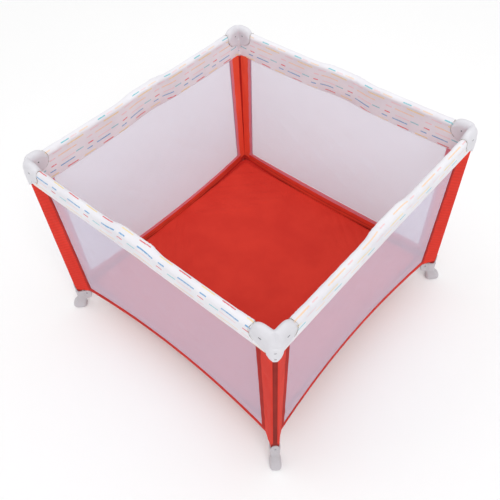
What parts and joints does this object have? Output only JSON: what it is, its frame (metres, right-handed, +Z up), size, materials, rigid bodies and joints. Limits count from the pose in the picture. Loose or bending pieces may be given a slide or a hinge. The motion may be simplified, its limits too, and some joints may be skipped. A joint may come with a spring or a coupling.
{
  "type": "folding playpen",
  "caption": "Square folding playpen: net walls between padded top rails and corner legs, a raised padded floor, and a linkage that gathers the frame into a bundle.",
  "frame": {"origin": "on the floor, under the centre of the square", "axes": "+Z up, -Y towards the front side, +X towards the right side, all sides equal"},
  "size_m": [1.0684, 1.0684, 0.7805],
  "materials": {
    "white_plastic": "satin moulded",
    "grey_plastic": "satin moulded",
    "dark_plastic": "satin moulded",
    "painted_steel": "semi-gloss powder coat",
    "red_fabric": "plain woven polyester",
    "printed_fabric": "woven polyester with printed dashes",
    "net": "fine knitted net",
    "webbing": "woven webbing"
  },
  "bodies": {
    "leg_front_left": {"leg_tube_front_left": "painted_steel", "corner_fitting_front_left": "white_plastic", "foot_front_left": "grey_plastic", "leg_sleeve_front_left": "red_fabric", "front_wall_left": "net", "left_wall_front": "net"},
    "base_front_left": {"base_tube_front_left": "painted_steel", "floor_pad_front_left": "red_fabric"},
    "leg_front_right": {"leg_tube_front_right": "painted_steel", "corner_fitting_front_right": "white_plastic", "foot_front_right": "grey_plastic", "leg_sleeve_front_right": "red_fabric", "front_wall_right": "net", "right_wall_front": "net"},
    "base_front_right": {"base_tube_front_right": "painted_steel", "floor_pad_front_right": "red_fabric"},
    "leg_back_right": {"leg_tube_back_right": "painted_steel", "corner_fitting_back_right": "white_plastic", "foot_back_right": "grey_plastic", "leg_sleeve_back_right": "red_fabric", "right_wall_back": "net", "back_wall_right": "net"},
    "base_back_right": {"base_tube_back_right": "painted_steel", "floor_pad_back_right": "red_fabric"},
    "leg_back_left": {"leg_tube_back_left": "painted_steel", "corner_fitting_back_left": "white_plastic", "foot_back_left": "grey_plastic", "leg_sleeve_back_left": "red_fabric", "back_wall_left": "net", "left_wall_back": "net"},
    "base_back_left": {"base_tube_back_left": "painted_steel", "floor_pad_back_left": "red_fabric"},
    "hub": {"hub": "grey_plastic", "pull_strap": "webbing"},
    "front_rail_left": {"front_rail_tube_left": "painted_steel", "front_rail_cover_left": "printed_fabric"},
    "front_rail_right": {"front_rail_tube_right": "painted_steel", "front_rail_cover_right": "printed_fabric"},
    "front_mid_hinge": {"front_mid_hinge": "grey_plastic"},
    "front_button": {"front_release_button": "dark_plastic"},
    "right_rail_front": {"right_rail_tube_front": "painted_steel", "right_rail_cover_front": "printed_fabric"},
    "right_rail_back": {"right_rail_tube_back": "painted_steel", "right_rail_cover_back": "printed_fabric"},
    "right_mid_hinge": {"right_mid_hinge": "grey_plastic"},
    "right_button": {"right_release_button": "dark_plastic"},
    "back_rail_right": {"back_rail_tube_right": "painted_steel", "back_rail_cover_right": "printed_fabric"},
    "back_rail_left": {"back_rail_tube_left": "painted_steel", "back_rail_cover_left": "printed_fabric"},
    "back_mid_hinge": {"back_mid_hinge": "grey_plastic"},
    "back_button": {"back_release_button": "dark_plastic"},
    "left_rail_back": {"left_rail_tube_back": "painted_steel", "left_rail_cover_back": "printed_fabric"},
    "left_rail_front": {"left_rail_tube_front": "painted_steel", "left_rail_cover_front": "printed_fabric"},
    "left_mid_hinge": {"left_mid_hinge": "grey_plastic"},
    "left_button": {"left_release_button": "dark_plastic"}
  },
  "joints": [
    {"name": "fold", "type": "hinge", "parent": "leg_front_left", "child": "base_front_left", "pos_m": [-0.4773, -0.4773, 0.085], "axis": [0.7071, -0.7071, 0], "range_deg": [0, 84], "deforming": ["front_wall_left", "front_wall_right", "right_wall_front", "right_wall_back", "back_wall_right", "back_wall_left", "left_wall_back", "left_wall_front", "floor_pad_front_left", "floor_pad_front_right", "floor_pad_back_right", "floor_pad_back_left"]},
    {"name": "hub_turn", "type": "hinge", "parent": "base_front_left", "child": "hub", "pos_m": [-0.0418, -0.0418, 0.085], "axis": [-0.7071, 0.7071, 0], "range_deg": [0, 84]},
    {"name": "base_swing_front_right", "type": "hinge", "parent": "hub", "child": "base_front_right", "pos_m": [0.0418, -0.0418, 0.085], "axis": [0.7071, 0.7071, 0], "range_deg": [0, 84]},
    {"name": "leg_turn_front_right", "type": "hinge", "parent": "base_front_right", "child": "leg_front_right", "pos_m": [0.4773, -0.4773, 0.085], "axis": [-0.7071, -0.7071, 0], "range_deg": [0, 84]},
    {"name": "base_swing_back_right", "type": "hinge", "parent": "hub", "child": "base_back_right", "pos_m": [0.0418, 0.0418, 0.085], "axis": [-0.7071, 0.7071, 0], "range_deg": [0, 84]},
    {"name": "leg_turn_back_right", "type": "hinge", "parent": "base_back_right", "child": "leg_back_right", "pos_m": [0.4773, 0.4773, 0.085], "axis": [0.7071, -0.7071, 0], "range_deg": [0, 84]},
    {"name": "base_swing_back_left", "type": "hinge", "parent": "hub", "child": "base_back_left", "pos_m": [-0.0418, 0.0418, 0.085], "axis": [-0.7071, -0.7071, 0], "range_deg": [0, 84]},
    {"name": "leg_turn_back_left", "type": "hinge", "parent": "base_back_left", "child": "leg_back_left", "pos_m": [-0.4773, 0.4773, 0.085], "axis": [0.7071, 0.7071, 0], "range_deg": [0, 84]},
    {"name": "front_rail_swing_left", "type": "hinge", "parent": "leg_front_left", "child": "front_rail_left", "pos_m": [-0.4655, -0.4995, 0.743], "axis": [0, 1, 0], "range_deg": [0, 84]},
    {"name": "front_rail_swing_right", "type": "hinge", "parent": "leg_front_right", "child": "front_rail_right", "pos_m": [0.4655, -0.4995, 0.743], "axis": [0, -1, 0], "range_deg": [0, 84]},
    {"name": "front_mid_turn", "type": "hinge", "parent": "front_rail_left", "child": "front_mid_hinge", "pos_m": [-0.03, -0.4995, 0.743], "axis": [0, -1, 0], "range_deg": [0, 84]},
    {"name": "right_rail_swing_front", "type": "hinge", "parent": "leg_front_right", "child": "right_rail_front", "pos_m": [0.4995, -0.4655, 0.743], "axis": [-1, 0, 0], "range_deg": [0, 84]},
    {"name": "right_rail_swing_back", "type": "hinge", "parent": "leg_back_right", "child": "right_rail_back", "pos_m": [0.4995, 0.4655, 0.743], "axis": [1, 0, 0], "range_deg": [0, 84]},
    {"name": "right_mid_turn", "type": "hinge", "parent": "right_rail_front", "child": "right_mid_hinge", "pos_m": [0.4995, -0.03, 0.743], "axis": [1, 0, 0], "range_deg": [0, 84]},
    {"name": "back_rail_swing_right", "type": "hinge", "parent": "leg_back_right", "child": "back_rail_right", "pos_m": [0.4655, 0.4995, 0.743], "axis": [0, -1, 0], "range_deg": [0, 84]},
    {"name": "back_rail_swing_left", "type": "hinge", "parent": "leg_back_left", "child": "back_rail_left", "pos_m": [-0.4655, 0.4995, 0.743], "axis": [0, 1, 0], "range_deg": [0, 84]},
    {"name": "back_mid_turn", "type": "hinge", "parent": "back_rail_left", "child": "back_mid_hinge", "pos_m": [-0.03, 0.4995, 0.743], "axis": [0, -1, 0], "range_deg": [0, 84]},
    {"name": "left_rail_swing_back", "type": "hinge", "parent": "leg_back_left", "child": "left_rail_back", "pos_m": [-0.4995, 0.4655, 0.743], "axis": [1, 0, 0], "range_deg": [0, 84]},
    {"name": "left_rail_swing_front", "type": "hinge", "parent": "leg_front_left", "child": "left_rail_front", "pos_m": [-0.4995, -0.4655, 0.743], "axis": [-1, 0, 0], "range_deg": [0, 84]},
    {"name": "left_mid_turn", "type": "hinge", "parent": "left_rail_front", "child": "left_mid_hinge", "pos_m": [-0.4995, -0.03, 0.743], "axis": [1, 0, 0], "range_deg": [0, 84]},
    {"name": "front_button_press", "type": "slide", "parent": "front_mid_hinge", "child": "front_button", "axis": [0, 0, 1], "range_m": [0, 0.005], "stiffness_N_per_m": 300, "springref_m": -0.003},
    {"name": "right_button_press", "type": "slide", "parent": "right_mid_hinge", "child": "right_button", "axis": [0, 0, 1], "range_m": [0, 0.005], "stiffness_N_per_m": 300, "springref_m": -0.003},
    {"name": "back_button_press", "type": "slide", "parent": "back_mid_hinge", "child": "back_button", "axis": [0, 0, 1], "range_m": [0, 0.005], "stiffness_N_per_m": 300, "springref_m": -0.003},
    {"name": "left_button_press", "type": "slide", "parent": "left_mid_hinge", "child": "left_button", "axis": [0, 0, 1], "range_m": [0, 0.005], "stiffness_N_per_m": 300, "springref_m": -0.003}
  ],
  "couplings": [
    {"joint": "hub_turn", "follows": "fold", "ratio": 1},
    {"joint": "base_swing_front_right", "follows": "fold", "ratio": 1},
    {"joint": "leg_turn_front_right", "follows": "fold", "ratio": 1},
    {"joint": "base_swing_back_right", "follows": "fold", "ratio": 1},
    {"joint": "leg_turn_back_right", "follows": "fold", "ratio": 1},
    {"joint": "base_swing_back_left", "follows": "fold", "ratio": 1},
    {"joint": "leg_turn_back_left", "follows": "fold", "ratio": 1},
    {"joint": "front_rail_swing_left", "follows": "fold", "ratio": 1},
    {"joint": "front_rail_swing_right", "follows": "fold", "ratio": 1},
    {"joint": "front_mid_turn", "follows": "fold", "ratio": 1},
    {"joint": "right_rail_swing_front", "follows": "fold", "ratio": 1},
    {"joint": "right_rail_swing_back", "follows": "fold", "ratio": 1},
    {"joint": "right_mid_turn", "follows": "fold", "ratio": 1},
    {"joint": "back_rail_swing_right", "follows": "fold", "ratio": 1},
    {"joint": "back_rail_swing_left", "follows": "fold", "ratio": 1},
    {"joint": "back_mid_turn", "follows": "fold", "ratio": 1},
    {"joint": "left_rail_swing_back", "follows": "fold", "ratio": 1},
    {"joint": "left_rail_swing_front", "follows": "fold", "ratio": 1},
    {"joint": "left_mid_turn", "follows": "fold", "ratio": 1}
  ]
}
